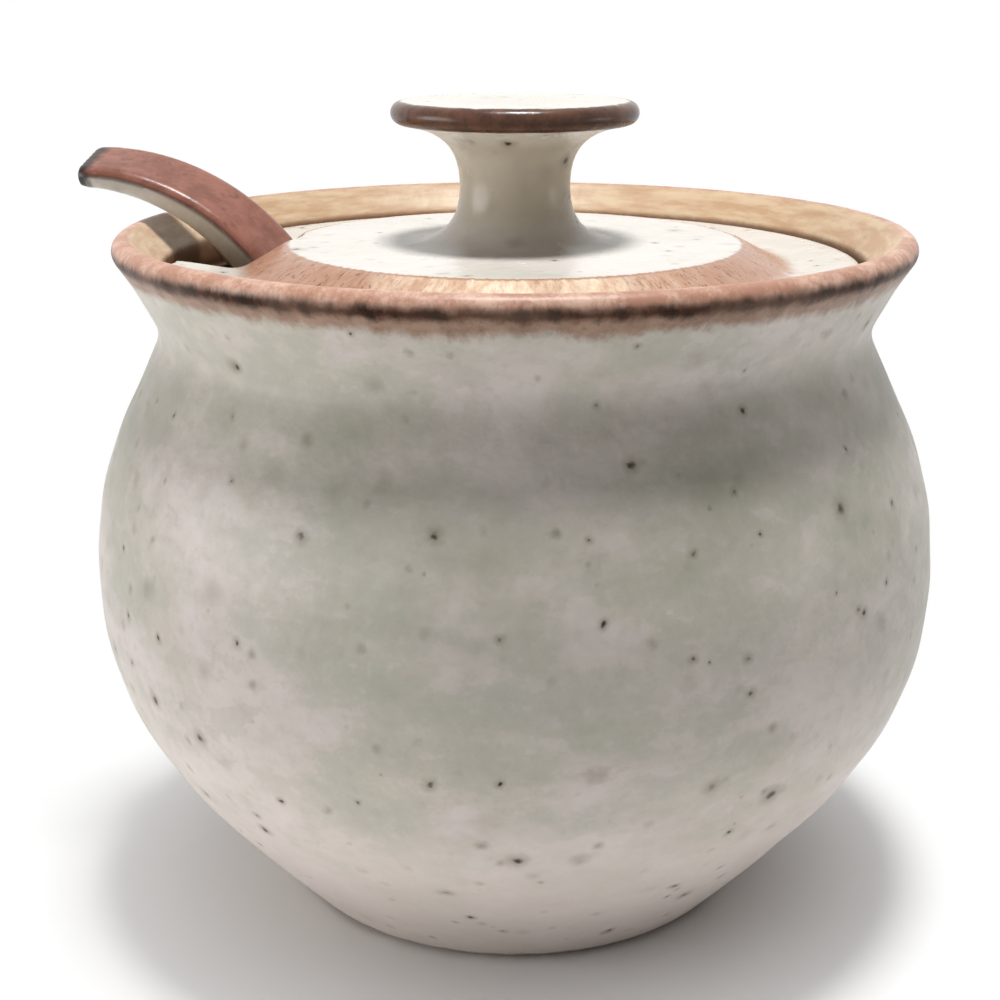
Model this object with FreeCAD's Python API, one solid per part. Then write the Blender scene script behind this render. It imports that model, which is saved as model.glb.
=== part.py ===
import FreeCAD, Part
import math
import os

# A thrown stoneware honey pot: a round pot with a lid seat inside its flared rim, a drop-in lid
# with a knob and a notch for the spoon, and a curved strap spoon that stands in the pot.
# Millimetres. +Z is up and the Z axis is the pot's axis. The origin is the centre of the foot,
# on the table. Azimuth is measured from +X towards +Y. Slopes are measured from the outward
# direction, up positive. A pull is how far a curve follows its end's direction, as a share of
# the distance that the curve spans.

# Pot, outside
foot_radius = 31.0
foot_edge = 1.2
foot_ring_width = 6.0
foot_recess_depth = 2.0
foot_slope = 47.0
foot_pull = 0.5
belly_radius = 57.5
belly_height = 46.5
belly_pull_down = 0.4
belly_pull_up = 0.45
neck_radius = 47.1
neck_above_belly = 33.3
neck_round = 2.4
shoulder_slope = 116.0
shoulder_pull = 0.32
flare_slope = 62.0
flare_pull = 0.33
rim_flare = 5.9
rim_above_neck = 12.5
lip_radius = 1.7
lip_under_slope = -35.0
lip_inner_slope = 135.0

# Pot, inside
wall = 4.5
inner_pull = 0.5
floor_height = 6.5
floor_flat_radius = 24.0
floor_pull = 0.4
seat_below_rim = 8.3
seat_inset = 0.4
ledge_width = 9.5
ledge_thickness = 3.6
ledge_pull = 0.1

# Lid
lid_fit = 0.6
lid_seat_gap = 0.1
lid_wall = 3.8
recess_clear = 1.5
flange_thickness = 3.9
flange_width = 9.1
flange_dish = 1.0
flange_edge_radius = 1.0
bevel_width = 6.4
bevel_height = 3.3
bevel_foot_round = 1.6
bevel_top_round = 0.8

# Knob
knob_base_radius = 15.5
knob_base_pull = 0.74
knob_radius = 16.4
knob_above_lid = 18.4
knob_edge_radius = 1.5
knob_dish = 0.9
knob_dish_pull = 0.45
knob_under_pull = 0.8
knob_under_drop = 0.12
waist_radius = 7.35
waist_above_lid = 7.3
waist_pull_down = 0.6
waist_pull_up = 0.55

# Spoon
spoon_azimuth = 171.0
spoon_roll = 16.0
spoon_lean_gap = 0.4
spoon_rest_gap = 0.3
handle_over_rim = 8.2
handle_end_slope = 1.5
handle_tip_length = 2.0
handle_end_width = 9.7
handle_end_thickness = 3.0
handle_width = 10.9
stem_slope = 60.0
stem_width = 8.4
stem_thickness = 5.2
strap_edge_radius = 1.3
crank_radius = 24.0
bowl_slope = 46.0
bowl_length = 33.0
bowl_width = 26.0
bowl_depth = 9.0
bowl_wall = 3.2

# Notch in the lid, where the handle comes out
notch_width = 17.0
notch_clear = 0.7
notch_slope = 54.0
notch_corner_radius = 3.5


def point(radius, height):
    """A point of a half section, in the plane y = 0."""
    return FreeCAD.Vector(radius, 0, height)


def heading(slope):
    """A unit direction in the plane y = 0."""
    return point(math.cos(math.radians(slope)), math.sin(math.radians(slope)))


def line(start, end):
    return Part.makeLine(start, end)


def chained(*spots):
    """Straight edges from each point to the next."""
    return [line(start, end) for start, end in zip(spots, spots[1:])]


def curve(*poles):
    """A Bezier curve from its first pole to its last, tangent to its first and last legs."""
    bezier = Part.BezierCurve()
    bezier.setPoles(list(poles))
    return bezier.toShape()


def arc(centre, radius, start_slope, end_slope):
    """A round nose in the plane y = 0, as two curves that keep to a circle."""
    half_turn = (end_slope - start_slope) / 2
    leg = radius * 4 / 3 * math.tan(math.radians(half_turn) / 4)
    edges = []
    for slope in (start_slope, start_slope + half_turn):
        start = centre + heading(slope) * radius
        end = centre + heading(slope + half_turn) * radius
        after_start = start + heading(slope + 90) * leg
        before_end = end - heading(slope + half_turn + 90) * leg
        edges.append(curve(start, after_start, before_end, end))
    return edges


def turned(edges):
    """The solid that a closed half section makes when it is turned about the pot's axis."""
    face = Part.Face(Part.Wire(edges))
    return face.revolve(point(0, 0), point(0, 1), 360)


# Levels and places that the pieces share
neck_height = belly_height + neck_above_belly
rim_height = neck_height + rim_above_neck
seat_height = rim_height - seat_below_rim
seat_radius = neck_radius - seat_inset
ledge_radius = seat_radius - ledge_width
nose_radius = ledge_thickness / 2
nose_centre = point(ledge_radius + nose_radius, seat_height - nose_radius)
lip_centre = point(neck_radius + rim_flare - lip_radius, rim_height - lip_radius)
flange_radius = seat_radius - lid_fit
flange_bottom = seat_height + lid_seat_gap
flange_top = flange_bottom + flange_thickness
bevel_foot = point(flange_radius - flange_width, flange_top - flange_dish)
bevel_top = bevel_foot + point(-bevel_width, bevel_height)
lid_top = bevel_top.z
lid_underside = lid_top - lid_wall


def pot_outside():
    """Recessed foot, round wall, neck and flared lip, from the axis out and up to the lip."""
    ring_inner = point(foot_radius - foot_ring_width, 0)
    ring_outer = point(foot_radius - foot_edge, 0)
    foot_end = point(foot_radius, 0) + heading(foot_slope) * foot_edge
    foot = chained(
        point(0, foot_recess_depth),
        ring_inner + point(-foot_recess_depth, foot_recess_depth),
        ring_inner,
        ring_outer,
    )
    foot.append(curve(ring_outer, point(foot_radius, 0), foot_end))

    belly = point(belly_radius, belly_height)
    lower_wall = curve(
        foot_end,
        foot_end + heading(foot_slope) * (foot_pull * belly_height),
        belly - point(0, belly_pull_down * belly_height),
        belly,
    )
    neck = point(neck_radius, neck_height)
    shoulder_end = neck - heading(shoulder_slope) * neck_round
    shoulder = curve(
        belly,
        belly + point(0, belly_pull_up * neck_above_belly),
        shoulder_end - heading(shoulder_slope) * (shoulder_pull * neck_above_belly),
        shoulder_end,
    )
    flare_start = neck + heading(flare_slope) * neck_round
    lip_start = lip_centre + heading(lip_under_slope) * lip_radius
    flare = curve(
        flare_start,
        flare_start + heading(flare_slope) * (flare_pull * rim_above_neck),
        lip_start - heading(lip_under_slope + 90) * (flare_pull * rim_above_neck),
        lip_start,
    )
    lip = arc(lip_centre, lip_radius, lip_under_slope, lip_inner_slope)
    neck_corner = curve(shoulder_end, neck, flare_start)
    return foot + [lower_wall, shoulder, neck_corner, flare] + lip


def pot_inside():
    """Sloped wall, lid seat, ledge, hollow and floor, from the lip down and in to the axis."""
    lip_end = lip_centre + heading(lip_inner_slope) * lip_radius
    seat = chained(
        lip_end,
        point(seat_radius, lip_end.z - (lip_end.x - seat_radius)),
        point(seat_radius, seat_height),
        point(nose_centre.x, seat_height),
    )
    nose_end = nose_centre - point(0, nose_radius)
    belly = point(belly_radius - wall, belly_height)
    rise = nose_end.z - belly_height
    upper_wall = curve(
        nose_end,
        nose_end + point(ledge_pull * rise, 0),
        belly + point(0, inner_pull * rise),
        belly,
    )
    floor_edge = point(floor_flat_radius, floor_height)
    lower_wall = curve(
        belly,
        belly - point(0, inner_pull * (belly_height - floor_height)),
        floor_edge + point(floor_pull * (belly.x - floor_flat_radius), 0),
        floor_edge,
    )
    floor = chained(floor_edge, point(0, floor_height), point(0, foot_recess_depth))
    return seat + arc(nose_centre, nose_radius, 90, 270) + [upper_wall, lower_wall] + floor


def pot():
    return turned(pot_outside() + pot_inside())


def lid_disc():
    """The lid before its notch is cut: hollow underside, dished flange, bevel, flat top and knob."""
    edge_side = point(flange_radius, flange_top - flange_edge_radius)
    edge_top = point(flange_radius - flange_edge_radius, flange_top)
    outline = chained(
        point(0, lid_underside),
        point(bevel_top.x, lid_underside),
        point(ledge_radius - recess_clear, flange_bottom),
        point(flange_radius, flange_bottom),
        edge_side,
    )
    flange_end = bevel_foot + (edge_top - bevel_foot).normalize() * bevel_foot_round
    bevel_run = (bevel_top - bevel_foot).normalize()
    bevel_start = bevel_foot + bevel_run * bevel_foot_round
    bevel_end = bevel_top - bevel_run * bevel_top_round
    top_start = bevel_top - point(bevel_top_round, 0)
    knob_foot = point(knob_base_radius, lid_top)
    outline += [
        curve(edge_side, point(flange_radius, flange_top), edge_top),
        line(edge_top, flange_end),
        curve(flange_end, bevel_foot, bevel_start),
        line(bevel_start, bevel_end),
        curve(bevel_end, bevel_top, top_start),
        line(top_start, knob_foot),
    ]
    waist = point(waist_radius, lid_top + waist_above_lid)
    roll_centre = point(knob_radius - knob_edge_radius, lid_top + knob_above_lid - knob_edge_radius)
    roll_start = roll_centre - point(0, knob_edge_radius)
    roll_end = roll_centre + point(0, knob_edge_radius)
    spread = roll_start - waist
    dish = point(0, roll_end.z - knob_dish)
    outline += [
        curve(
            knob_foot,
            knob_foot - point(knob_base_pull * (knob_base_radius - waist_radius), 0),
            waist - point(0, waist_pull_down * waist_above_lid),
            waist,
        ),
        curve(
            waist,
            waist + point(0, waist_pull_up * spread.z),
            roll_start - point(knob_under_pull * spread.x, knob_under_drop * spread.z),
            roll_start,
        ),
        *arc(roll_centre, knob_edge_radius, -90, 90),
        curve(
            roll_end,
            roll_end - point(knob_dish_pull * roll_end.x, 0),
            dish + point(knob_dish_pull * roll_end.x, 0),
            dish,
        ),
        line(dish, point(0, lid_underside)),
    ]
    return turned(outline)


# The spoon is made in the plane y = 0, handle outwards, and then turned to its azimuth. Its path
# is the middle of its top face, and its sections are rolled about the path. The stem leans on
# the ledge's nose and the bowl stands on the pot's floor.
roll_sine = math.sin(math.radians(spoon_roll))
roll_cosine = math.cos(math.radians(spoon_roll))
stem_run = heading(stem_slope)
stem_reach = stem_thickness * roll_cosine + handle_width / 2 * roll_sine
lean = stem_reach + spoon_lean_gap + nose_radius - nose_radius * stem_run.x
handle_start = point(nose_centre.x - lean / stem_run.z, seat_height)
bend_rise = rim_height + handle_over_rim - seat_height
bend_radius = bend_rise / (heading(handle_end_slope).x - stem_run.x)
bend_centre = handle_start + heading(stem_slope - 90) * bend_radius
crank = (heading(stem_slope + 90) - heading(bowl_slope + 90)) * crank_radius
bowl_run = heading(bowl_slope)


def rolled(slope):
    """The section's directions where the path has a slope: across it, and out of its top face."""
    upright = heading(slope + 90)
    level = FreeCAD.Vector(0, 1, 0)
    return level * roll_cosine - upright * roll_sine, upright * roll_cosine + level * roll_sine


def stem_length():
    """The straight stem's length, which puts the bowl on the pot's floor."""
    across, outward = rolled(bowl_slope)
    reach = bowl_length / 2 * bowl_run.z
    half_height = math.sqrt(
        reach ** 2 + (bowl_width / 2 * across.z) ** 2 + (bowl_depth * outward.z) ** 2
    )
    fall = seat_height - floor_height - spoon_rest_gap
    return (fall + crank.z - reach - half_height) / stem_run.z


def strap_section(spot, slope, width, thickness):
    """A rounded rectangle across the handle, with the middle of its top at spot."""
    across, outward = rolled(slope)
    rounding = min(strap_edge_radius, 0.4 * thickness)
    corners = []
    for side, level in ((1, 0), (-1, 0), (-1, 1), (1, 1)):
        corners.append(spot + across * (side * width / 2) - outward * (level * thickness))
    edges = []
    for index, corner in enumerate(corners):
        after = corners[(index + 1) % 4]
        inward = (corners[index - 1] - corner).normalize() * rounding
        onward = (after - corner).normalize() * rounding
        middle = corner + (inward + onward) * (1 - math.sqrt(0.5))
        edges.append(Part.Arc(corner + inward, middle, corner + onward).toShape())
        edges.append(line(corner + onward, after - onward))
    return Part.Wire(edges)


def strap():
    """The handle from its blunt end, over the rim, down the stem and into the bowl's wall."""
    bend_end = bend_centre + heading(handle_end_slope + 90) * bend_radius
    tip = bend_end + heading(handle_end_slope) * handle_tip_length
    sections = [strap_section(tip, handle_end_slope, handle_end_width, handle_end_thickness)]
    bend_steps = 5
    for step in range(bend_steps + 1):
        share = step / bend_steps
        slope = handle_end_slope + share * (stem_slope - handle_end_slope)
        width = handle_end_width + share * (handle_width - handle_end_width)
        thickness = handle_end_thickness + share * (stem_thickness - handle_end_thickness)
        spot = bend_centre + heading(slope + 90) * bend_radius
        sections.append(strap_section(spot, slope, width, thickness))

    length = stem_length()
    stem_steps = 4
    for step in range(1, stem_steps + 1):
        share = step / stem_steps
        width = handle_width + share * (stem_width - handle_width)
        spot = handle_start - stem_run * (share * length)
        sections.append(strap_section(spot, stem_slope, width, stem_thickness))
    crank_centre = spot + heading(stem_slope + 90) * crank_radius
    for slope in ((stem_slope + bowl_slope) / 2, bowl_slope):
        spot = crank_centre - heading(slope + 90) * crank_radius
        sections.append(strap_section(spot, slope, stem_width, stem_thickness))
    sunk = spot - bowl_run * (2 * bowl_wall)
    sections.append(strap_section(sunk, bowl_slope, stem_width, stem_thickness))
    return Part.makeLoft(sections, True, False)


def set_in_bowl(shape, centre):
    """Turns a shape from the bowl's own frame to the rolled and tilted bowl."""
    shape.rotate(point(0, 0), point(1, 0), -spoon_roll)
    shape.rotate(point(0, 0), FreeCAD.Vector(0, 1, 0), -bowl_slope)
    shape.translate(centre)
    return shape


def egg(centre, inset):
    """An ellipsoid of the bowl's outer size, less the inset."""
    ball = Part.makeSphere(1)
    ball.rotate(point(0, 0), point(0, 1), 180)
    matrix = FreeCAD.Matrix()
    matrix.scale(bowl_length / 2 - inset, bowl_width / 2 - inset, bowl_depth - inset)
    return set_in_bowl(ball.transformGeometry(matrix), centre)


def spoon():
    """The strap joined to a hollowed half egg, and turned to the notch."""
    bowl_end = handle_start - stem_run * stem_length() + crank
    centre = bowl_end - bowl_run * (bowl_length / 2)
    size = 2 * bowl_length
    above = Part.makeBox(size, size, size, FreeCAD.Vector(-size / 2, -size / 2, 0))
    cup = egg(centre, 0).cut(set_in_bowl(above, centre))
    piece = cup.fuse(strap()).cut(egg(centre, bowl_wall))
    piece.rotate(point(0, 0), point(0, 1), spoon_azimuth)
    return piece


def notch():
    """A slot cut at a slant beside the handle, round at its inner end, flared at the lid's edge."""
    half = notch_width / 2
    corner = notch_corner_radius
    drift = 1 / math.tan(math.radians(notch_slope))
    low = flange_bottom - corner
    high = lid_top + corner

    def spot(along, across):
        return FreeCAD.Vector(along - (lid_underside - low) * drift, across, low)

    handle_climb = (lid_underside - seat_height) / math.tan(math.radians(stem_slope))
    handle_edge = handle_start.x + handle_climb - handle_width / 2 * roll_sine / stem_run.z
    sag = math.sqrt(half ** 2 - (handle_width / 2 * roll_cosine) ** 2)
    round_centre = handle_edge - notch_clear + sag
    round_end = spot(round_centre - half, 0)
    mouth = math.sqrt(flange_radius ** 2 - half ** 2) - (flange_top - lid_underside) * drift
    outer = 2 * flange_radius
    edges = [Part.Arc(spot(round_centre, half), round_end, spot(round_centre, -half)).toShape()]
    for side in (-1, 1):
        straight_end = spot(mouth - corner, side * half)
        flare_end = spot(mouth + corner, side * (half + corner))
        edges.append(line(spot(round_centre, side * half), straight_end))
        edges.append(curve(straight_end, spot(mouth, side * half), flare_end))
        edges.append(line(flare_end, spot(outer, side * (half + corner))))
    edges.append(line(spot(outer, -half - corner), spot(outer, half + corner)))
    face = Part.Face(Part.Wire(Part.__sortEdges__(edges)))
    slot = face.extrude(point((high - low) * drift, high - low))
    slot.rotate(point(0, 0), point(0, 1), spoon_azimuth)
    return slot


def lid():
    return lid_disc().cut(notch())


os.makedirs("parts", exist_ok=True)
for name, shape in (("pot", pot()), ("lid", lid()), ("spoon", spoon())):
    print(name, "solids", len(shape.Solids), "valid", shape.isValid(), "volume mm3", round(shape.Volume))
    shape.Solids[0].exportStep("parts/" + name + ".step")
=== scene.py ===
import math

import bmesh
import bpy
import numpy as np
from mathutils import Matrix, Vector, geometry, noise


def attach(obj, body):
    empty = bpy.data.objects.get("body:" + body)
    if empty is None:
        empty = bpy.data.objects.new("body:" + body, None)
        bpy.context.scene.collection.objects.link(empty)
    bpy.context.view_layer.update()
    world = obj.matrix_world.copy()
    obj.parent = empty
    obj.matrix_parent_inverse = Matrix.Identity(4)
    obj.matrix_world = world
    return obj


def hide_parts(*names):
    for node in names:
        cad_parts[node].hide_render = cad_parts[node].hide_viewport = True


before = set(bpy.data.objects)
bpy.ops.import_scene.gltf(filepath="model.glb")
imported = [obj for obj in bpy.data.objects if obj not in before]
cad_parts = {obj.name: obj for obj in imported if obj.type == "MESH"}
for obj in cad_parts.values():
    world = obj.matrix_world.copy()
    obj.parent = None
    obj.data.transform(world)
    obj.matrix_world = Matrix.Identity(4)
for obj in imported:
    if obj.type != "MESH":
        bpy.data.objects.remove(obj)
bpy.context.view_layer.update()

# Sizes, in millimetres, as in the part's source
foot_radius, foot_edge, foot_ring_width, foot_recess = 31.0, 1.2, 6.0, 2.0
belly_radius, belly_height, wall = 57.5, 46.5, 4.5
neck_radius, neck_height, neck_round = 47.1, 79.8, 2.4
rim_radius, rim_height, lip_radius = 53.0, 92.3, 1.7
floor_height, floor_flat = 6.5, 24.0
seat_radius, seat_height, ledge_radius, nose_radius = 46.7, 84.0, 37.2, 1.8
flange_radius, flange_bottom, flange_top, flange_round = 46.1, 84.1, 88.0, 1.0
bevel_foot, bevel_top = (37.0, 87.0), (30.6, 90.3)
lid_top, lid_underside = 90.3, 86.5
knob_base, knob_radius, knob_top, knob_roll, knob_dish = 15.5, 16.4, 108.7, 1.5, 0.9
waist_radius, waist_height = 7.35, 97.6
spoon_azimuth, spoon_roll = math.radians(171.0), math.radians(16.0)
stem_slope, end_slope, bowl_slope = 60.0, 1.5, 46.0
handle_start = np.array((29.992, 84.0))
bend_radius, crank_radius, stem_length = 33.023, 24.0, 54.415
bowl_length, bowl_width, bowl_depth, bowl_wall = 33.0, 26.0, 9.0, 3.2
notch_half, notch_corner, notch_drift = 8.5, 3.5, 1 / math.tan(math.radians(54.0))
notch_centre, notch_mouth = 35.69, 44.22


# Half sections

def heading(slope):
    return np.array((math.cos(math.radians(slope)), math.sin(math.radians(slope))))


def bezier(*poles, steps=60):
    """Points of a Bezier curve, without its last one."""
    poles = np.array(poles, float)
    t = np.linspace(0, 1, steps, endpoint=False)[:, None]
    n = len(poles) - 1
    return sum(math.comb(n, i) * (1 - t) ** (n - i) * t ** i * poles[i] for i in range(n + 1))


def arc(centre, radius, start, end, steps=40):
    angles = np.linspace(start, end, steps, endpoint=False)
    return np.array([np.array(centre) + radius * heading(a) for a in angles])


def spaced(points, step):
    """A polyline again, with even steps."""
    run = np.r_[0, np.cumsum(np.hypot(*np.diff(points, axis=0).T))]
    even = np.linspace(0, run[-1], max(2, int(run[-1] / step)))
    return np.c_[np.interp(even, run, points[:, 0]), np.interp(even, run, points[:, 1])]


def softened(points, blur=0.35, step=0.1):
    """Rounds every corner of a section, as a coat of glaze does."""
    fine = spaced(points, step)
    reach = int(4 * blur / step)
    weight = np.exp(-0.5 * (np.arange(-reach, reach + 1) * step / blur) ** 2)
    weight /= weight.sum()
    before = 2 * fine[0] - fine[reach:0:-1]
    after = 2 * fine[-1] - fine[-2:-reach - 2:-1]
    padded = np.vstack((before, fine, after))
    out = np.c_[np.convolve(padded[:, 0], weight, "valid"), np.convolve(padded[:, 1], weight, "valid")]
    out[0], out[-1] = fine[0], fine[-1]
    return out


def thinned(points, least=0.25, most=1.3):
    """Fewer points where a section is straight, more where it turns."""
    step = np.diff(points, axis=0)
    length = np.hypot(*step.T)
    angle = np.unwrap(np.arctan2(step[:, 1], step[:, 0]))
    bend = np.abs(np.gradient(angle)) / np.maximum(length, 1e-9)
    bend = np.convolve(bend, np.ones(9) / 9, "same")
    density = 1 / np.clip(0.14 / np.maximum(bend, 1e-6), least, most)
    run = np.r_[0, np.cumsum(density * length)]
    even = np.linspace(0, run[-1], int(run[-1]) + 2)
    return np.c_[np.interp(even, run, points[:, 0]), np.interp(even, run, points[:, 1])]


def pot_section():
    """From the middle of the recess under the foot, out and up to the lip, and down inside to the floor."""
    ring = foot_radius - foot_ring_width
    foot_end = np.array((foot_radius, 0)) + heading(47) * foot_edge
    belly = np.array((belly_radius, belly_height))
    rise = neck_height - belly_height
    neck = np.array((neck_radius, neck_height))
    shoulder_end = neck - heading(116) * neck_round
    flare_start = neck + heading(62) * neck_round
    lip = np.array((rim_radius - lip_radius, rim_height - lip_radius))
    lip_start = lip + heading(-35) * lip_radius
    lip_end = lip + heading(135) * lip_radius
    flare = 0.33 * (rim_height - neck_height)
    outside = np.vstack((
        [(0, foot_recess), (ring - foot_recess, foot_recess), (ring, 0)],
        bezier((foot_radius - foot_edge, 0), (foot_radius, 0), foot_end),
        bezier(foot_end, foot_end + heading(47) * 0.5 * belly_height, belly - (0, 0.4 * belly_height), belly),
        bezier(belly, belly + (0, 0.45 * rise), shoulder_end - heading(116) * 0.32 * rise, shoulder_end),
        bezier(shoulder_end, neck, flare_start),
        bezier(flare_start, flare_start + heading(62) * flare, lip_start - heading(55) * flare, lip_start),
        arc(lip, lip_radius, -35, 90),
    ))
    nose = np.array((ledge_radius + nose_radius, seat_height - nose_radius))
    nose_end = nose - (0, nose_radius)
    hollow = np.array((belly_radius - wall, belly_height))
    upper = nose_end[1] - belly_height
    inside = np.vstack((
        arc(lip, lip_radius, 90, 135),
        [lip_end, (seat_radius, lip_end[1] - (lip_end[0] - seat_radius)), (seat_radius, seat_height)],
        arc(nose, nose_radius, 90, 270),
        bezier(nose_end, nose_end + (0.1 * upper, 0), hollow + (0, 0.5 * upper), hollow),
        bezier(hollow, hollow - (0, 20), (floor_flat + 11.6, floor_height), (floor_flat, floor_height)),
        [(floor_flat, floor_height), (0, floor_height)],
    ))
    return thinned(softened(np.vstack((outside, inside))))


def knob_section():
    """From the knob's foot on the lid, up its waist and over its rolled edge to the middle of its top."""
    roll = np.array((knob_radius - knob_roll, knob_top - knob_roll))
    start, end = roll - (0, knob_roll), roll + (0, knob_roll)
    waist = np.array((waist_radius, waist_height))
    spread = start - waist
    dish = np.array((0, knob_top - knob_dish))
    rise = waist_height - lid_top
    return thinned(softened(np.vstack((
        bezier((knob_base, lid_top), (waist_radius + 0.26 * (knob_base - waist_radius), lid_top),
               waist - (0, 0.6 * rise), waist),
        bezier(waist, waist + (0, 0.55 * spread[1]), start - spread * (0.8, 0.12), start),
        arc(roll, knob_roll, -90, 90),
        bezier(end, end - (0.45 * end[0], 0), dish + (0.45 * end[0], 0), dish),
        [dish],
    )), 0.25))


# Meshes

def mesh_object(name, points, faces, corner_uvs=None):
    """A smooth mesh object from points in millimetres."""
    mesh = bpy.data.meshes.new(name)
    mesh.from_pydata([tuple(p) for p in np.asarray(points) * 0.001], [], faces)
    if corner_uvs is not None:
        layer = mesh.uv_layers.new(name="OFBake")
        layer.data.foreach_set("uv", np.asarray(corner_uvs, np.float32).ravel())
    mesh.polygons.foreach_set("use_smooth", [True] * len(mesh.polygons))
    mesh.update()
    piece = bpy.data.objects.new(name, mesh)
    bpy.context.scene.collection.objects.link(piece)
    return piece


def turned(section, segments, dent=None):
    """Points, faces and corner UVs of a section turned about the axis. dent moves points along their normals."""
    tangent = np.gradient(section, axis=0)
    tangent /= np.maximum(np.hypot(*tangent.T), 1e-9)[:, None]
    normal = np.c_[tangent[:, 1], -tangent[:, 0]]
    run = np.r_[0, np.cumsum(np.hypot(*np.diff(section, axis=0).T))]
    run /= run[-1]
    angles = np.arange(segments) * 2 * math.pi / segments
    points, rows = [], []
    for index, (r, z) in enumerate(section):
        if r < 1e-6:
            rows.append([len(points)] * segments)
            points.append((0, 0, z))
            continue
        rows.append(list(range(len(points), len(points) + segments)))
        for angle in angles:
            shift = dent(index, r, z, angle) if dent else 0
            rr, zz = r + shift * normal[index, 0], z + shift * normal[index, 1]
            points.append((rr * math.cos(angle), rr * math.sin(angle), zz))
    faces, uvs = [], []
    for i in range(len(rows) - 1):
        low, high = rows[i], rows[i + 1]
        for j in range(segments):
            k = (j + 1) % segments
            corners = [(low[j], j, i), (low[k], j + 1, i), (high[k], j + 1, i + 1), (high[j], j, i + 1)]
            if low[j] == low[k]:
                corners.pop(1)
            elif high[j] == high[k]:
                corners.pop(2)
            faces.append([c[0] for c in corners])
            uvs += [(c[1] / segments, run[c[2]]) for c in corners]
    return points, faces, uvs


def smoothstep(low, high, value):
    t = min(max((value - low) / (high - low), 0), 1)
    return t * t * (3 - 2 * t)


def make_pot():
    section = pot_section()
    lip_index = int(section[:, 1].argmax())

    def dent(index, r, z, angle):
        """Shallow throwing rings and a hand-thrown wobble, all inwards."""
        if index >= lip_index:
            return 0
        spot = Vector((r * math.cos(angle), r * math.sin(angle), z))
        body = smoothstep(3, 14, z) * (1 - smoothstep(72, 79, z))
        drift = noise.noise(spot * 0.03) * 2.2
        ring = 0.5 + 0.5 * math.sin(2 * math.pi * z / 9.5 + angle + drift)
        strength = 0.5 + 0.5 * noise.noise(spot * 0.045 + Vector((7, 3, 1)))
        wobble = 0.5 + 0.5 * noise.noise(spot * 0.028 + Vector((2, 9, 4)))
        return -body * (0.22 * ring * strength + 0.25 * wobble)

    return mesh_object("pot_glazed", *turned(section, 288, dent))


def notch_outline():
    """The notch's outline at the height of the lid's underside, in the notch's own axes."""
    half, corner = notch_half, notch_corner
    side = np.vstack((
        [(notch_centre, half)],
        bezier((notch_mouth - corner, half), (notch_mouth, half), (notch_mouth + corner, half + corner)),
        [(notch_mouth + corner, half + corner), (80, half + corner)],
    ))
    end = arc((notch_centre, 0), half, 90, 270)
    return spaced(np.vstack((side[::-1], end[1:], side * (1, -1))), 0.05)


def lid_surfaces():
    """The lid's top and bottom heights by radius, from its foot at the knob to its edge."""
    edge = flange_top - flange_round
    foot, brow = np.array(bevel_foot), np.array(bevel_top)
    inner = np.array((flange_radius - flange_round, flange_top))
    run = (inner - foot) / np.hypot(*(inner - foot))
    climb = (brow - foot) / np.hypot(*(brow - foot))
    top = softened(np.vstack((
        [(knob_base, lid_top)],
        bezier(brow - (0.8, 0), brow, brow - climb * 0.8),
        bezier(foot + climb * 1.6, foot, foot + run * 1.6),
        bezier(inner, (flange_radius, flange_top), (flange_radius, edge)),
        [(flange_radius, edge)],
    )), 0.25)
    top[:, 0] = np.maximum.accumulate(top[:, 0])
    low = np.array([
        (0, lid_underside), (30.6, lid_underside), (35.7, flange_bottom), (flange_radius - 0.5, flange_bottom),
        (flange_radius - 0.15, flange_bottom + 0.15), (flange_radius, flange_bottom + 0.5),
    ])
    return (lambda r: np.interp(r, top[:, 0], top[:, 1])), (lambda r: np.interp(r, low[:, 0], low[:, 1]))


def rim_of_notch(outline, height):
    """Where the notch's slanted wall meets a surface of the lid, from edge to edge of the lid."""
    level = np.full(len(outline), lid_underside)
    for _ in range(30):
        along = outline[:, 0] + (level - lid_underside) * notch_drift
        level = height(np.hypot(along, outline[:, 1]))
    plan = np.c_[along, outline[:, 1]]
    inside = np.flatnonzero(np.hypot(*plan.T) < flange_radius)
    kept = plan[inside[0] - 1:inside[-1] + 2]
    for index, other in ((0, 1), (-1, -2)):
        a, b = kept[other], kept[index]
        for _ in range(30):
            middle = (a + b) / 2
            if np.hypot(*middle) < flange_radius:
                a = middle
            else:
                b = middle
        kept[index] = b * flange_radius / np.hypot(*b)
    return kept


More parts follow.
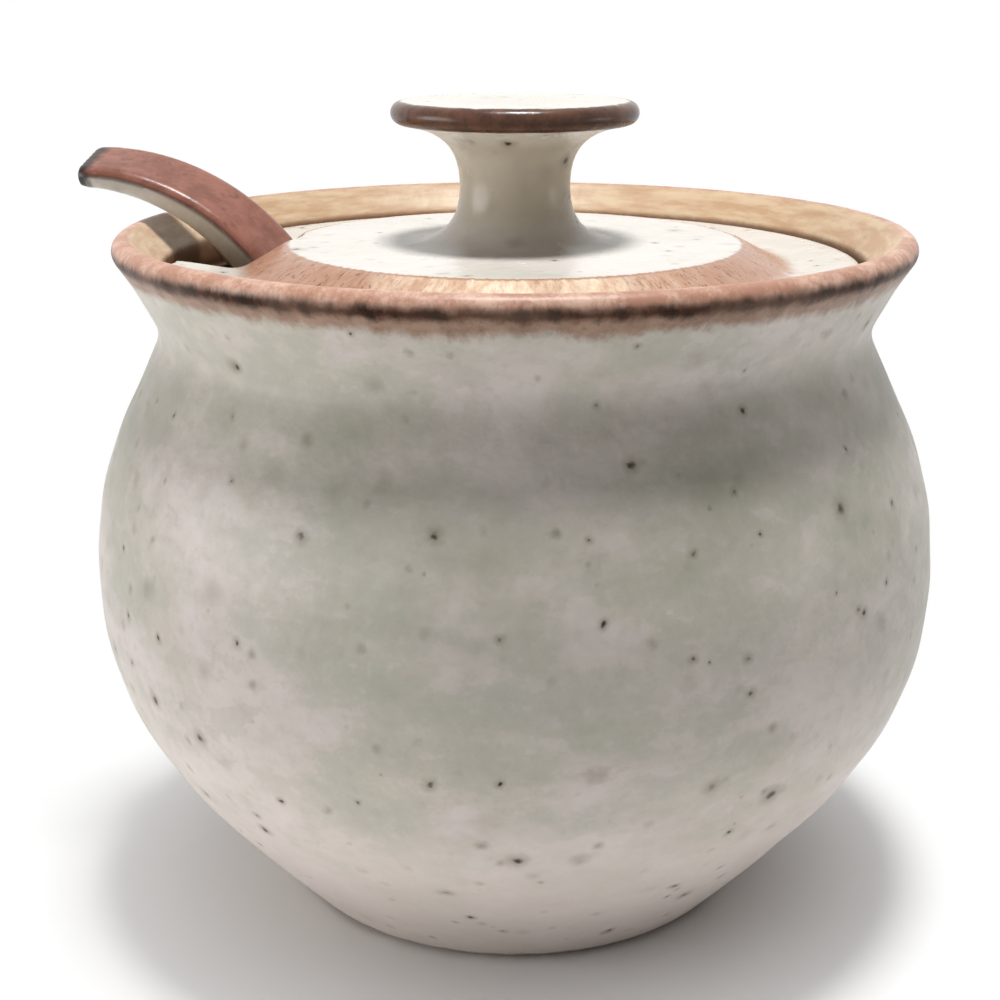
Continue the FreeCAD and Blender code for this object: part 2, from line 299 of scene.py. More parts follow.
def sheet(loop, rim_count, height, edge_round, hole_radius, segments):
    """Points and triangles of one side of the lid: its boundary first, and the edge of the notch rounded off."""
    rim = loop[:rim_count]
    rings = [loop]
    if hole_radius:
        turn = np.arange(segments) * 2 * math.pi / segments
        rings.append(hole_radius * np.c_[np.cos(turn), np.sin(turn)])
    spots = list(rings)
    direction = np.gradient(rim, axis=0)
    direction /= np.hypot(*direction.T)[:, None]
    away = np.c_[-direction[:, 1], direction[:, 0]]
    if np.hypot(*(rim[rim_count // 2] + away[rim_count // 2])) > np.hypot(*rim[rim_count // 2]):
        away = -away
    for share in (0.07, 0.2, 0.4, 0.68, 1.0, 1.5, 2.2):
        spots.append(rim[2:-2] + away[2:-2] * share * edge_round)
    radius = hole_radius + 0.55 if hole_radius else 1.0
    while radius < flange_radius - 0.1:
        count = max(24, int(2 * math.pi * radius / 0.95))
        turn = np.arange(count) * 2 * math.pi / count
        ring = radius * np.c_[np.cos(turn), np.sin(turn)]
        gap = np.hypot(ring[:, None, 0] - rim[None, :, 0], ring[:, None, 1] - rim[None, :, 1]).min(axis=1)
        spots.append(ring[gap > 2.6 * edge_round])
        radius += 0.22 if radius > flange_radius - flange_round - 0.4 else 0.8
    spots = np.vstack(spots)
    count = len(loop)
    edges = [(i, (i + 1) % count) for i in range(count)]
    if hole_radius:
        edges += [(count + i, count + (i + 1) % segments) for i in range(segments)]
    flat, _, triangles, origins, _, _ = geometry.delaunay_2d_cdt([Vector(s) for s in spots], edges, [], 0, 1e-7)
    flat = np.array([tuple(v) for v in flat])
    centres = flat[np.array(triangles)].mean(axis=1)
    inside = np.zeros(len(centres), bool)
    for a, b in zip(loop, np.roll(loop, -1, axis=0)):
        crosses = (a[1] > centres[:, 1]) != (b[1] > centres[:, 1])
        if crosses.any():
            at = a[0] + (centres[:, 1] - a[1]) * (b[0] - a[0]) / (b[1] - a[1] if b[1] != a[1] else 1)
            inside ^= crosses & (centres[:, 0] < at)
    if hole_radius:
        inside &= np.hypot(*centres.T) > hole_radius * math.cos(math.pi / segments)
    gap = np.hypot(flat[:, None, 0] - rim[None, :, 0], flat[:, None, 1] - rim[None, :, 1]).min(axis=1)
    near = np.clip(1 - gap / edge_round, 0, 1)
    drop = edge_round * (1 - np.sqrt(1 - near ** 2))
    return flat, height(np.hypot(*flat.T)), drop, [t for t, keep in zip(triangles, inside) if keep], origins


def make_lid():
    top, bottom = lid_surfaces()
    outline = notch_outline()
    rim_count, arc_count, segments, edge_round = 110, 330, 208, 0.75
    loops = []
    for height in (top, bottom):
        rim = rim_of_notch(outline, height)
        run = np.r_[0, np.cumsum(np.hypot(*np.diff(rim, axis=0).T))]
        even = np.linspace(0, run[-1], rim_count)
        rim = np.c_[np.interp(even, run, rim[:, 0]), np.interp(even, run, rim[:, 1])]
        start = math.atan2(rim[-1, 1], rim[-1, 0])
        end = math.atan2(rim[0, 1], rim[0, 0])
        sweep = (end - start) % (2 * math.pi)
        if sweep < math.pi:
            sweep -= 2 * math.pi
        turn = start + sweep * np.arange(1, arc_count) / arc_count
        loops.append(np.vstack((rim, flange_radius * np.c_[np.cos(turn), np.sin(turn)])))
    points, faces = [], []
    borders = []
    for loop, height, sign, hole in ((loops[0], top, -1, knob_base), (loops[1], bottom, 1, 0)):
        flat, level, drop, triangles, origins = sheet(loop, rim_count, height, edge_round, hole, segments)
        base = len(points)
        points += [(x, y, z + sign * d) for (x, y), z, d in zip(flat, level, drop)]
        faces += [[base + i for i in (t if sign < 0 else t[::-1])] for t in triangles]
        where = {}
        for new, old in enumerate(origins):
            for index in old:
                where[index] = base + new
        borders.append([where[i] for i in range(len(loop))])
    count = len(loops[0])
    rows = [borders[0]]
    for share in (0.25, 0.5, 0.75):
        row = []
        for a, b in zip(*borders):
            row.append(len(points))
            points.append(tuple(np.array(points[a]) * (1 - share) + np.array(points[b]) * share))
        rows.append(row)
    rows.append(borders[1])
    for high, low in zip(rows, rows[1:]):
        for i in range(count):
            k = (i + 1) % count
            faces.append([high[i], low[i], low[k], high[k]])
    knob_points, knob_faces, _ = turned(knob_section(), segments)
    base = len(points)
    points += knob_points
    faces += [[base + i for i in f] for f in knob_faces]
    points = np.array(points)
    c, s = math.cos(spoon_azimuth), math.sin(spoon_azimuth)
    points = np.c_[points[:, 0] * c - points[:, 1] * s, points[:, 0] * s + points[:, 1] * c, points[:, 2]]
    lid = mesh_object("lid_glazed", points, faces)
    tidy_mesh(lid, 0.004)
    return lid


def tidy_mesh(piece, merge_mm):
    """Joins coincident points and turns every face outwards."""
    work = bmesh.new()
    work.from_mesh(piece.data)
    bmesh.ops.remove_doubles(work, verts=work.verts, dist=merge_mm * 0.001)
    bmesh.ops.recalc_face_normals(work, faces=work.faces)
    work.to_mesh(piece.data)
    work.free()
    piece.data.polygons.foreach_set("use_smooth", [True] * len(piece.data.polygons))


# Spoon

def lifted(spot, y=0.0):
    return np.array((spot[0], y, spot[1]))


def rolled(slope):
    """The strap's directions where its path has a slope: across it, and out of its top face."""
    upright = lifted(heading(slope + 90))
    level = np.array((0, 1, 0))
    c, s = math.cos(spoon_roll), math.sin(spoon_roll)
    return level * c - upright * s, upright * c + level * s


def spoon_path():
    """Stations down the spoon: place, slope, width and thickness, from the blunt end to the bowl."""
    centre = handle_start + heading(stem_slope - 90) * bend_radius
    end = centre + heading(end_slope + 90) * bend_radius
    stations = []
    for out in np.linspace(2.0, 0, 12, endpoint=False):
        stations.append((end + heading(end_slope) * out, end_slope, 9.7, 3.0))
    for share in np.linspace(0, 1, 60, endpoint=False):
        slope = end_slope + share * (stem_slope - end_slope)
        stations.append((centre + heading(slope + 90) * bend_radius, slope, 9.7 + 1.2 * share, 3.0 + 2.2 * share))
    run = heading(stem_slope)
    for share in np.linspace(0, 1, 60, endpoint=False):
        stations.append((handle_start - run * stem_length * share, stem_slope, 10.9 - 2.5 * share, 5.2))
    hub = handle_start - run * stem_length + heading(stem_slope + 90) * crank_radius
    for slope in np.linspace(stem_slope, bowl_slope, 16):
        stations.append((hub - heading(slope + 90) * crank_radius, slope, 8.4, 5.2))
    bowl_end = stations[-1][0]
    for reach in (1.5, 3.0, 4.5, 6.0):
        stations.append((bowl_end - heading(bowl_slope) * reach, bowl_slope, 8.4, 5.2))
    return stations, bowl_end


def rounded_loop(width, thickness, radius, steps=7):
    """A rounded rectangle, as (across, below the top) pairs."""
    radius = min(radius, 0.45 * thickness)
    loop = []
    for cx, cy, start in ((1, 0, 0), (-1, 0, 90), (-1, 1, 180), (1, 1, 270)):
        for a in np.linspace(start, start + 90, steps):
            out = heading(a) * radius
            loop.append((cx * (width / 2 - radius) + out[0], (thickness - radius if cy else radius) - out[1]))
    return loop


def make_spoon():
    stations, bowl_end = spoon_path()
    points, faces = [], []
    first = stations[0][0]
    loops = []
    for spot, slope, width, thickness in stations:
        out = np.hypot(*(spot - first))
        ease = 1 - 0.07 * (1 - smoothstep(0, 2.0, out)) ** 2
        across, outward = rolled(slope)
        sag = 0.5 * thickness * (1 - ease)
        loop = []
        for a, below in rounded_loop(width * ease, thickness * ease, 1.35):
            loop.append(len(points))
            points.append(lifted(spot) + across * a - outward * (below + sag))
        loops.append(loop)
    count = len(loops[0])
    for low, high in zip(loops, loops[1:]):
        faces += [[low[i], low[(i + 1) % count], high[(i + 1) % count], high[i]] for i in range(count)]
    faces += [loops[0][::-1], loops[-1]]

    centre = lifted(bowl_end - heading(bowl_slope) * bowl_length / 2)
    along = lifted(heading(bowl_slope))
    across, outward = rolled(bowl_slope)
    half = np.array((bowl_length / 2, bowl_width / 2, bowl_depth))
    rings, steps = 22, 72
    shells = []
    for inset, sign in ((0, -1), (bowl_wall, 1)):
        size = half - inset
        rows = []
        for i in range(rings):
            lat = math.pi / 2 * i / rings
            row = []
            for j in range(steps):
                lon = 2 * math.pi * j / steps
                local = size * (math.cos(lat) * math.cos(lon), math.cos(lat) * math.sin(lon), -math.sin(lat))
                row.append(len(points))
                points.append(centre + along * local[0] + across * local[1] + outward * local[2])
            rows.append(row)
        pole = len(points)
        points.append(centre - outward * size[2])
        shells.append(rows[0])
        for low, high in zip(rows, rows[1:]):
            for j in range(steps):
                k = (j + 1) % steps
                face = [low[j], low[k], high[k], high[j]]
                faces.append(face if sign > 0 else face[::-1])
        for j in range(steps):
            face = [rows[-1][j], rows[-1][(j + 1) % steps], pole]
            faces.append(face if sign > 0 else face[::-1])
    for j in range(steps):
        k = (j + 1) % steps
        faces.append([shells[0][j], shells[0][k], shells[1][k], shells[1][j]])

    spoon = mesh_object("spoon_glazed", np.array(points), faces)
    remesh = spoon.modifiers.new("one_body", "REMESH")
    remesh.mode = "VOXEL"
    remesh.voxel_size = 0.00032
    smooth = spoon.modifiers.new("soft", "SMOOTH")
    smooth.factor = 0.5
    smooth.iterations = 9
    bpy.context.view_layer.update()
    done = bpy.data.meshes.new_from_object(spoon.evaluated_get(bpy.context.evaluated_depsgraph_get()))
    spoon.modifiers.clear()
    spoon.data = done

    # How far each point faces the way of the strap's top, and how far down the spoon it lies
    verts = np.empty(len(done.vertices) * 3)
    done.vertices.foreach_get("co", verts)
    verts = verts.reshape(-1, 3) * 1000
    normals = np.empty(len(done.vertices) * 3)
    done.vertex_normals.foreach_get("vector", normals)
    normals = normals.reshape(-1, 3)
    spots = np.array([lifted(s[0]) for s in stations])
    ups = np.array([rolled(s[1])[1] for s in stations])
    downs = np.r_[0, np.cumsum(np.linalg.norm(np.diff(spots, axis=0), axis=1))]
    nearest = np.empty(len(verts), int)
    for first in range(0, len(verts), 4000):
        block = verts[first:first + 4000]
        nearest[first:first + 4000] = ((block[:, None] - spots[None]) ** 2).sum(axis=2).argmin(axis=1)
    facing = (normals * ups[nearest]).sum(axis=1)
    beyond = np.maximum(((spots[-1] - verts) * along).sum(axis=1), 0)
    for name, values in (("facing", facing), ("down", downs[nearest] + beyond)):
        made = done.attributes.new(name, "FLOAT", "POINT")
        made.data.foreach_set("value", values.astype(np.float32))

    c, s = math.cos(spoon_azimuth), math.sin(spoon_azimuth)
    turned_verts = np.c_[verts[:, 0] * c - verts[:, 1] * s, verts[:, 0] * s + verts[:, 1] * c, verts[:, 2]] * 0.001
    done.vertices.foreach_set("co", turned_verts.ravel())
    done.polygons.foreach_set("use_smooth", [True] * len(done.polygons))
    done.update()
    return spoon


# Materials

def linear(red, green, blue):
    """A display colour from 0 to 255 as the shader's linear colour."""
    out = []
    for value in (red, green, blue):
        v = value / 255
        out.append(v / 12.92 if v <= 0.04045 else ((v + 0.055) / 1.055) ** 2.4)
    return (*out, 1)


class Glaze:
    """A node material, with short calls for the nodes it is made of. Places are in millimetres."""

    def __init__(self, name):
        self.material = bpy.data.materials.new(name)
        self.material.use_nodes = True
        self.tree = self.material.node_tree
        self.shader = self.tree.nodes["Principled BSDF"]
        coordinates = self.tree.nodes.new("ShaderNodeTexCoord")
        self.place = self.vector("MULTIPLY", coordinates.outputs["Object"], (1000, 1000, 1000))
        split = self.node("ShaderNodeSeparateXYZ", {0: self.place})
        self.x, self.y, self.z = split.outputs
        flat = self.node("ShaderNodeCombineXYZ", {0: self.x, 1: self.y, 2: 0.0}).outputs[0]
        self.radius = self.node("ShaderNodeVectorMath", {0: flat}, operation="LENGTH").outputs["Value"]
        self.around = self.node("ShaderNodeVectorMath", {0: flat}, operation="NORMALIZE").outputs[0]

    def node(self, kind, inputs, **settings):
        made = self.tree.nodes.new(kind)
        for key, value in settings.items():
            setattr(made, key, value)
        for key, value in inputs.items():
            if hasattr(value, "is_linked"):
                self.tree.links.new(value, made.inputs[key])
            else:
                made.inputs[key].default_value = value
        return made

    def math(self, operation, a, b=0.0, clamp=False):
        return self.node("ShaderNodeMath", {0: a, 1: b}, operation=operation, use_clamp=clamp).outputs[0]

    def vector(self, operation, a, b):
        return self.node("ShaderNodeVectorMath", {0: a, 1: b}, operation=operation).outputs[0]

    def step(self, value, low, high):
        """0 below low, 1 above high, smooth between; the other way round where low is the larger."""
        return self.node("ShaderNodeMapRange", {"Value": value, "From Min": low, "From Max": high},
                         interpolation_type="SMOOTHSTEP").outputs[0]

    def mix(self, share, a, b):
        made = self.node("ShaderNodeMix", {0: share, 6: a, 7: b}, data_type="RGBA")
        return made.outputs[2]

    def noise(self, place, size, detail=3.0, roughness=0.55):
        """Noise from 0 to 1 whose features are about size millimetres wide."""
        return self.node("ShaderNodeTexNoise", {"Vector": place, "Scale": 1 / size, "Detail": detail,
                                                "Roughness": roughness}).outputs[0]

    def stretched(self, place, x, y, z):
        return self.vector("MULTIPLY", place, (x, y, z))

    def spots(self, place, cell, small, large, soft):
        """Round spots of random size, one in each cell: a share from 0 to 1, and a random number for each spot."""
        cells = self.node("ShaderNodeTexVoronoi", {"Vector": place, "Scale": 1 / cell})
        random = self.node("ShaderNodeSeparateColor", {0: cells.outputs["Color"]})
        size = self.math("ADD", self.math("MULTIPLY", random.outputs[0], large - small), small)
        distance = self.math("MULTIPLY", cells.outputs["Distance"], cell)
        return self.step(self.math("DIVIDE", distance, size), 1.0, soft), random.outputs[1]

    def polar(self, across, along):
        """A place whose features run outwards from the axis: across is their fineness round it, along outwards."""
        round_it = self.vector("SCALE", self.around, (0, 0, 0))
        round_it.node.inputs["Scale"].default_value = across
        up = self.math("MULTIPLY", self.radius, along)
        out = self.node("ShaderNodeCombineXYZ", {0: 0.0, 1: 0.0, 2: up}).outputs[0]
        return self.vector("ADD", round_it, out)

    def cream(self):
        """The pale glaze: grey, pink and green-grey clouds, patches with ragged edges and a fine mottle."""
        clouds = self.noise(self.stretched(self.place, 1, 1, 1.5), 26, 4.0, 0.6)
        grey, pink = linear(194, 188, 175), linear(211, 201, 194)
        colour = self.mix(self.step(clouds, 0.38, 0.62), grey, pink)
        green = self.noise(self.vector("ADD", self.stretched(self.place, 1, 1, 2.2), (40, 7, 90)), 30, 4.0, 0.6)
        colour = self.mix(self.math("MULTIPLY", self.step(green, 0.5, 0.68), 0.7), colour, linear(182, 180, 167))
        patches = self.noise(self.vector("ADD", self.stretched(self.place, 1, 1, 1.6), (9, 70, 3)), 8.0, 6.0, 0.62)
        cool = self.math("MULTIPLY", self.step(patches, 0.5, 0.57), 0.35)
        colour = self.mix(cool, colour, linear(180, 177, 165))
        warm = self.math("MULTIPLY", self.step(patches, 0.44, 0.38), 0.4)
        colour = self.mix(warm, colour, linear(214, 204, 200))
        mottle = self.noise(self.place, 2.2, 5.0, 0.7)
        colour = self.mix(self.math("MULTIPLY", self.step(mottle, 0.5, 0.75), 0.3), colour, linear(222, 216, 208))
        return self.mix(self.math("MULTIPLY", self.step(mottle, 0.5, 0.28), 0.25), colour, linear(168, 160, 146))

    def speckled(self, colour):
        """Iron specks: near-black ones that bleed into the glaze, small dark ones, and blurred olive smudges."""
        wander = self.node("ShaderNodeTexNoise", {"Vector": self.place, "Scale": 0.7, "Detail": 3.0})
        wander = wander.outputs["Color"]
        bent = self.vector("ADD", self.place, self.vector("SUBTRACT", wander, (0.5, 0.5, 0.5)))
        for shift, cell, large, strength in (((3, 11, 5), 8.0, 2.6, 0.34), ((13, 8, 2), 5.0, 1.5, 0.6)):
            smudge, tone = self.spots(self.vector("ADD", bent, shift), cell, 0.5, large, 0.0)
            share = self.math("MULTIPLY", smudge, self.math("MULTIPLY", tone, strength))
            colour = self.mix(share, colour, linear(116, 104, 78))
        for shift, cell, large in (((21, 4, 17), 7.4, 0.95), ((0, 0, 0), 5.2, 0.5)):
            place = self.vector("ADD", bent, shift)
            halo, _ = self.spots(place, cell, 0.4, 2.6 * large, 0.0)
            colour = self.mix(self.math("MULTIPLY", halo, 0.5), colour, linear(112, 96, 70))
            core, tone = self.spots(place, cell, 0.1, large, 0.25)
            dark = self.mix(tone, linear(24, 19, 15), linear(70, 54, 40))
            colour = self.mix(core, colour, dark)
        return colour

    def brown(self, pale, deep, dark):
        """Iron brown where the glaze breaks thin."""
        patch = self.noise(self.place, 3.2, 5.0, 0.65)
        colour = self.mix(self.step(patch, 0.35, 0.65), linear(*deep), linear(*pale))
        blot = self.noise(self.vector("ADD", self.place, (50, 2, 8)), 1.6, 4.0, 0.6)
        return self.mix(self.math("MULTIPLY", self.step(blot, 0.56, 0.72), 0.55), colour, linear(*dark))

    def finish(self, colour, roughness, bump):
        self.tree.links.new(colour, self.shader.inputs["Base Color"])
        patch = self.noise(self.place, 4.0, 3.0)
        spread = self.node("ShaderNodeMapRange", {"Value": patch, "To Min": roughness - 0.07,
                                                  "To Max": roughness + 0.09})
        self.tree.links.new(spread.outputs[0], self.shader.inputs["Roughness"])
        self.shader.inputs["Specular IOR Level"].default_value = 0.3
        peel = self.noise(self.place, 1.1, 3.0, 0.6)
        swell = self.noise(self.place, 5.0, 2.0)
        height = self.math("ADD", self.math("MULTIPLY", peel, 0.25), swell)
        made = self.node("ShaderNodeBump", {"Height": height, "Strength": bump, "Distance": 0.0004})
        self.tree.links.new(made.outputs[0], self.shader.inputs["Normal"])
        return self.material


def pot_material():
    g = Glaze("pot_speckled_glaze")
    colour = g.speckled(g.cream())
    ragged = g.noise(g.stretched(g.place, 1, 1, 0.5), 2.6, 5.0, 0.7)
    swing = g.math("SUBTRACT", ragged, 0.5)
    wide = g.math("SUBTRACT", g.noise(g.place, 9.0, 3.0), 0.5)
    above = g.math("MAXIMUM", g.math("SUBTRACT", g.z, 88.4), 0.0)
    depth = g.math("SUBTRACT", g.radius, above)

    # The slope and the seat inside the lip, tan in level bands, painted brown and then dark brown lower down:
    # painted shade standing for the shadow in the pocket under the spoon's handle
    banded = g.noise(g.stretched(g.place, 0.25, 0.25, 1.6), 2.2, 4.0, 0.6)
    tan = g.mix(g.step(banded, 0.35, 0.65), linear(186, 152, 120), linear(206, 182, 151))
    # Painted shade: brown below the slope's top, dark brown on the seat and ledge
    tan = g.mix(g.step(g.math("ADD", g.z, swing), 88.8, 87.8), tan, linear(150, 114, 87))
    tan = g.mix(g.step(g.math("ADD", g.z, swing), 86.2, 84.6), tan, linear(92, 66, 50))
    ledge = g.math("MAXIMUM", g.step(g.z, 81.4, 82.2), g.step(g.radius, 45.6, 44.8))
    inner = g.math("MULTIPLY", g.step(g.math("ADD", g.z, swing), 79.6, 80.6), g.step(depth, 47.4, 47.1))
    inner = g.math("MULTIPLY", inner, ledge)
    colour = g.mix(inner, colour, tan)

    # The lip: pale brown under it, a dark band on its edge, pink brown over its crest. The dark band is partly the
    # glaze's own iron edge and partly painted shade under the lip's overhang
    under = g.math("ADD", g.z, g.math("ADD", g.math("MULTIPLY", swing, 3.2), g.math("MULTIPLY", wide, 1.6)))
    outside = g.step(g.math("ADD", depth, g.math("MULTIPLY", swing, 0.6)), 46.75, 47.35)
    lip = g.math("MULTIPLY", g.step(under, 86.9, 88.6), outside)
    colour = g.mix(g.math("MULTIPLY", lip, 0.92), colour, g.brown((162, 130, 108), (136, 102, 82), (98, 68, 54)))
    crest = g.math("MULTIPLY", g.step(g.math("ADD", g.z, swing), 90.2, 91.4), lip)
    grain = g.noise(g.stretched(g.place, 1, 1, 0.5), 0.55, 4.0, 0.7)
    glow = g.math("ADD", g.noise(g.place, 4.5, 4.0), g.math("MULTIPLY", g.math("SUBTRACT", grain, 0.5), 0.6))
    pink = g.mix(g.step(glow, 0.34, 0.74), linear(176, 130, 108), linear(216, 180, 160))
    colour = g.mix(crest, colour, pink)
    blot = g.noise(g.stretched(g.place, 1, 1, 0.7), 3.0, 5.0, 0.65)
    edge = g.math("ADD", g.z, g.math("MULTIPLY", swing, 1.2))
    edge = g.math("ABSOLUTE", g.math("SUBTRACT", edge, 90.1))
    edge = g.math("SUBTRACT", edge, g.math("MULTIPLY", g.math("SUBTRACT", blot, 0.5), 1.6))
    edge = g.math("MULTIPLY", g.step(edge, 1.35, 0.1), g.step(g.radius, 51.4, 52.2))
    stretch = g.step(g.noise(g.vector("ADD", g.place, (31, 5, 12)), 22.0, 3.0), 0.4, 0.56)
    edge = g.math("MULTIPLY", edge, g.math("ADD", g.math("MULTIPLY", stretch, 0.22), 0.75))
    # Partly painted shade: near-black browns for the iron edge, darkened as by the shadow under the lip
    dark = g.mix(g.step(blot, 0.38, 0.62), linear(82, 48, 31), linear(36, 19, 11))
    colour = g.mix(edge, colour, dark)
    shine = g.math("SUBTRACT", 0.3, g.math("MULTIPLY", edge, 0.22))
    g.tree.links.new(shine, g.shader.inputs["Specular IOR Level"])

    # Painted light and shade: paler and pinker low on the body, standing for light bounced up from the floor, and
    # green-grey on the shoulder, standing for the shadow under the rim
    uneven = g.math("ADD", g.z, g.math("MULTIPLY", wide, 20.0))
    # Painted light from the floor's bounce, low on the body
    low = g.math("MULTIPLY", g.step(uneven, 40.0, 14.0), 0.6)
    colour = g.mix(low, colour, g.speckled(linear(234, 221, 214)))
    # Painted shade under the rim, on the shoulder, broken into patches
    painted_shoulder_shade = g.math("MULTIPLY", g.step(uneven, 50.0, 64.0), g.step(g.z, 79.5, 75.0))
    shade_patches = g.noise(g.vector("ADD", g.place, (5, 60, 31)), 24.0, 5.0, 0.6)
    painted_shoulder_shade = g.math("MULTIPLY", painted_shoulder_shade, g.step(shade_patches, 0.4, 0.6))
    colour = g.mix(g.math("MULTIPLY", painted_shoulder_shade, 0.5), colour, g.speckled(linear(150, 149, 130)))

    # Bare clay under the foot
    foot = g.step(g.math("ADD", g.z, g.math("MULTIPLY", swing, 2.0)), 1.4, 0.4)
    clay = g.mix(g.noise(g.place, 1.2, 4.0), linear(120, 96, 78), linear(176, 150, 126))
    colour = g.mix(foot, colour, clay)
    return g.finish(colour, 0.4, 0.35)


def lid_material():
    g = Glaze("lid_speckled_glaze")
    # Painted light: the lid's cream is mixed paler than the pot's, standing for the strong light on the lid's top
    pale = g.mix(0.45, g.cream(), linear(230, 227, 220))
    # Painted shade: the knob's stem is painted olive-grey, standing for the shadow under the knob's top
    painted_stem_shade = g.math("MULTIPLY", g.step(g.z, 91.0, 95.0), g.step(g.z, 105.5, 103.0))
    pale = g.mix(g.math("MULTIPLY", painted_stem_shade, 0.7), pale, linear(178, 168, 146))
    colour = g.speckled(pale)
    top_side = g.math("MULTIPLY", g.step(g.z, 86.6, 86.9), g.step(g.z, 91.5, 91.0))
    streak = g.noise(g.polar(50.0, 0.2), 1.0, 5.0, 0.6)
    finger = g.math("MULTIPLY", g.math("SUBTRACT", streak, 0.5), 3.4)
    shifted = g.math("ADD", g.radius, finger)
    sides = g.math("ABSOLUTE", g.node("ShaderNodeSeparateXYZ", {0: g.around}).outputs[0])
    patch = g.noise(g.polar(4.0, 0.0), 1.0, 2.0)
    rich = g.step(g.math("ADD", sides, g.math("MULTIPLY", g.math("SUBTRACT", patch, 0.5), 1.2)), 0.0, 0.8)

    # The bevel: cream to peach, with patchy brown fur and short dark dashes that run outwards
    band = g.math("MULTIPLY", g.step(shifted, 30.0, 30.8), g.step(shifted, 38.2, 35.2))
    band = g.math("MULTIPLY", band, top_side)
    cloud = g.noise(g.polar(22.0, 0.35), 1.0, 4.0, 0.6)
    base = g.mix(g.step(cloud, 0.36, 0.64), linear(212, 174, 142), linear(240, 220, 194))
    peach = g.mix(g.math("MULTIPLY", rich, 0.85), base, linear(162, 108, 77))
    colour = g.mix(g.math("MULTIPLY", band, 0.92), colour, peach)
    fur = g.noise(g.polar(64.0, 0.5), 1.0, 6.0, 0.7)
    patchy = g.step(g.noise(g.place, 3.0, 4.0), 0.36, 0.62)
    furry = g.math("MULTIPLY", g.step(fur, 0.48, 0.62), g.math("ADD", g.math("MULTIPLY", rich, 0.45), 0.3))
    furry = g.math("MULTIPLY", furry, patchy)
    colour = g.mix(g.math("MULTIPLY", band, furry), colour, linear(146, 96, 66))
    dash = g.noise(g.polar(90.0, 1.1), 1.0, 3.0, 0.5)
    dash = g.math("MULTIPLY", g.step(dash, 0.6, 0.67), g.math("MULTIPLY", band, rich))
    colour = g.mix(g.math("MULTIPLY", dash, 0.8), colour, linear(92, 58, 40))
    brow = g.math("ABSOLUTE", g.math("SUBTRACT", g.math("ADD", g.radius, g.math("MULTIPLY", finger, 0.3)), 30.5))
    brow = g.math("MULTIPLY", g.step(brow, 0.5, 0.05), top_side)
    colour = g.mix(g.math("MULTIPLY", brow, 0.75), colour, linear(160, 112, 84))

    # The knob's rolled edge
    roll = g.math("ADD", g.radius, g.math("MULTIPLY", g.math("SUBTRACT", g.noise(g.place, 2.0, 4.0), 0.5), 1.6))
    roll = g.math("MULTIPLY", g.step(roll, 14.6, 15.3), g.step(g.z, 104.6, 105.6))
    colour = g.mix(roll, colour, g.brown((98, 64, 46), (68, 42, 29), (36, 21, 15)))
    return g.finish(colour, 0.24, 0.3)


def spoon_material():
    g = Glaze("spoon_glaze")
    colour = g.speckled(g.cream())
    facing = g.node("ShaderNodeAttribute", {}, attribute_name="facing").outputs["Fac"]
    down = g.node("ShaderNodeAttribute", {}, attribute_name="down").outputs["Fac"]
    ragged = g.noise(g.place, 1.6, 4.0, 0.65)
    swing = g.math("SUBTRACT", ragged, 0.5)
    oxide = g.brown((148, 97, 82), (124, 77, 62), (92, 56, 44))
    top = g.step(g.math("ADD", facing, g.math("MULTIPLY", swing, 0.4)), 0.25, 0.45)
    fade = g.step(g.math("ADD", down, g.math("MULTIPLY", swing, 8.0)), 82.0, 70.0)
    colour = g.mix(g.math("MULTIPLY", top, fade), colour, oxide)
    edge = g.step(g.math("ABSOLUTE", g.math("SUBTRACT", facing, 0.35)), 0.25, 0.05)
    colour = g.mix(g.math("MULTIPLY", edge, g.math("MULTIPLY", fade, 0.7)), colour, linear(82, 50, 40))
    tip = g.step(g.math("ADD", down, g.math("MULTIPLY", swing, 2.0)), 2.6, 0.9)
    colour = g.mix(g.math("MULTIPLY", tip, 0.95), colour, linear(26, 16, 12))
    return g.finish(colour, 0.3, 0.3)


# Pieces

def dressed(piece, node, material):
    piece.data.materials.clear()
    piece.data.materials.append(material)
    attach(piece, node)
    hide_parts(node)


dressed(make_pot(), "pot", pot_material())
dressed(make_lid(), "lid", lid_material())
dressed(make_spoon(), "spoon", spoon_material())


# Floor, light and camera

def seen_rays(tree):
    """1 for the rays that show the background: the camera's, reflections' and transmission's."""
    path = tree.nodes.new("ShaderNodeLightPath")
    share = path.outputs["Is Camera Ray"]
    for name in ("Is Glossy Ray", "Is Transmission Ray"):
        either = tree.nodes.new("ShaderNodeMath")
        either.operation = "MAXIMUM"
        tree.links.new(share, either.inputs[0])
        tree.links.new(path.outputs[name], either.inputs[1])
        share = either.outputs[0]
    return share


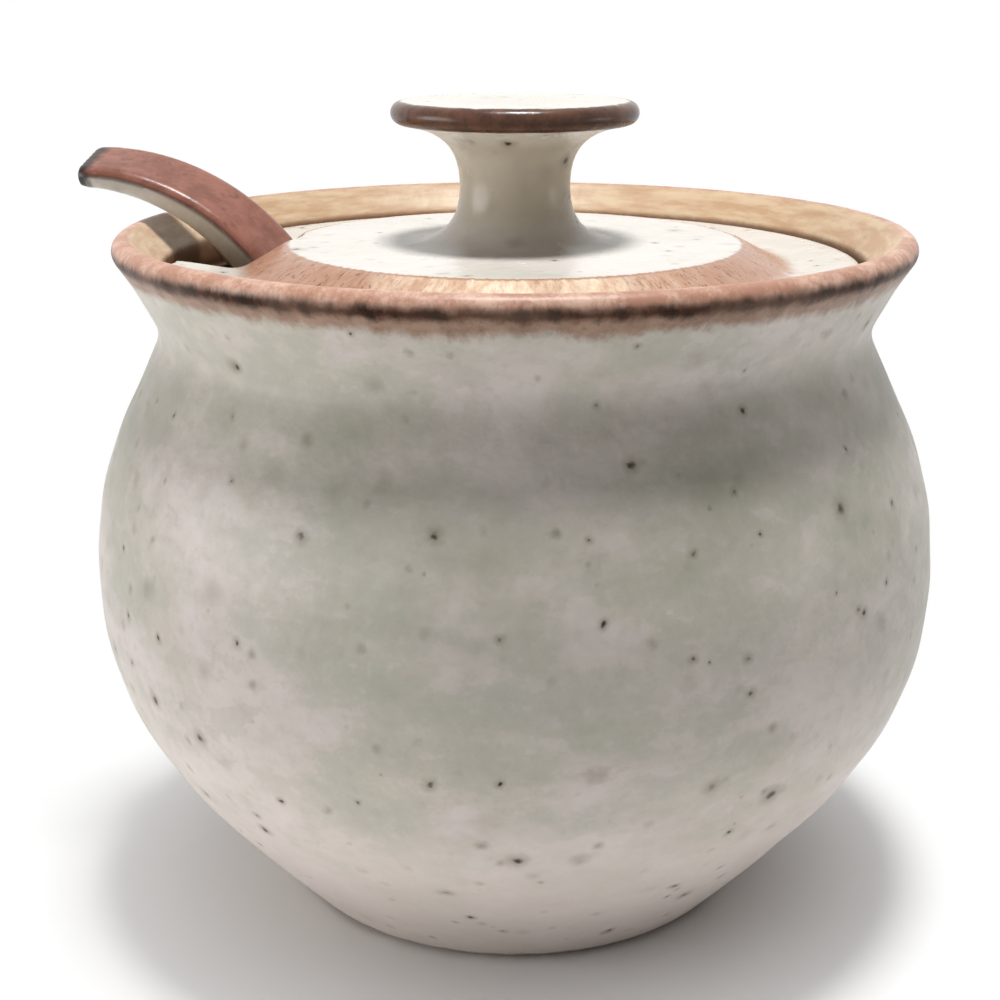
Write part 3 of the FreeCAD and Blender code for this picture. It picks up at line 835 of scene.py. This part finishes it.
def make_floor():
    """A pale floor that keeps the shadow near the pot and runs into the white background away from it."""
    size = 3.0
    mesh = bpy.data.meshes.new("floor")
    mesh.from_pydata([(-size, -size, 0), (size, -size, 0), (size, size, 0), (-size, size, 0)], [], [(0, 1, 2, 3)])
    plane = bpy.data.objects.new("floor", mesh)
    bpy.context.scene.collection.objects.link(plane)
    material = bpy.data.materials.new("pale_floor")
    material.use_nodes = True
    tree = material.node_tree
    shader = tree.nodes["Principled BSDF"]
    shader.inputs["Base Color"].default_value = (0.92, 0.92, 0.92, 1)
    shader.inputs["Roughness"].default_value = 0.9
    place = tree.nodes.new("ShaderNodeTexCoord")
    away = tree.nodes.new("ShaderNodeVectorMath")
    away.operation = "LENGTH"
    tree.links.new(place.outputs["Object"], away.inputs[0])
    fade = tree.nodes.new("ShaderNodeMapRange")
    fade.interpolation_type = "SMOOTHSTEP"
    fade.inputs["From Min"].default_value = 0.03
    fade.inputs["From Max"].default_value = 0.095
    tree.links.new(away.outputs["Value"], fade.inputs["Value"])
    share = tree.nodes.new("ShaderNodeMath")
    share.operation = "MULTIPLY"
    tree.links.new(seen_rays(tree), share.inputs[0])
    tree.links.new(fade.outputs[0], share.inputs[1])
    white = tree.nodes.new("ShaderNodeEmission")
    blend = tree.nodes.new("ShaderNodeMixShader")
    tree.links.new(share.outputs[0], blend.inputs["Fac"])
    tree.links.new(shader.outputs[0], blend.inputs[1])
    tree.links.new(white.outputs[0], blend.inputs[2])
    tree.links.new(blend.outputs[0], tree.nodes["Material Output"].inputs["Surface"])
    mesh.materials.append(material)


def area_light(name, place, target, size, power):
    lamp = bpy.data.lights.new(name, "AREA")
    lamp.shape = "DISK"
    lamp.size = size
    lamp.energy = power
    holder = bpy.data.objects.new(name, lamp)
    holder.location = place
    holder.rotation_euler = (Vector(target) - Vector(place)).to_track_quat("-Z", "Y").to_euler()
    bpy.context.scene.collection.objects.link(holder)


def make_world(ambient):
    """White where the background is seen, and a soft even light elsewhere."""
    world = bpy.data.worlds.new("studio")
    bpy.context.scene.world = world
    world.use_nodes = True
    tree = world.node_tree
    tree.nodes.clear()
    output = tree.nodes.new("ShaderNodeOutputWorld")
    background = tree.nodes.new("ShaderNodeBackground")
    background.inputs["Color"].default_value = (1, 1, 1, 1)
    level = tree.nodes.new("ShaderNodeMapRange")
    level.inputs["To Min"].default_value = ambient
    level.inputs["To Max"].default_value = 1.0
    tree.links.new(seen_rays(tree), level.inputs["Value"])
    tree.links.new(level.outputs[0], background.inputs["Strength"])
    tree.links.new(background.outputs[0], output.inputs["Surface"])


make_floor()
make_world(0.09)
area_light("overhead", (0.03, -0.02, 0.75), (0, 0, 0.05), 0.17, 5.7)
area_light("left_fill", (-0.8, -0.2, 0.06), (0, 0, 0.04), 0.6, 4.7)
area_light("right_fill", (0.8, -0.1, 0.05), (0, 0, 0.04), 0.3, 0.6)

camera = bpy.data.cameras.new("camera")
camera.sensor_width = 36
camera.lens = 61.562
camera.shift_x = -0.015
camera.clip_start = 0.01
holder = bpy.data.objects.new("camera", camera)
holder.location = (0, -0.230, 0.124222)
holder.rotation_euler = (math.pi / 2 - 0.297, 0, 0)
bpy.context.scene.collection.objects.link(holder)
bpy.context.scene.camera = holder
bpy.context.scene.view_settings.view_transform = "Standard"
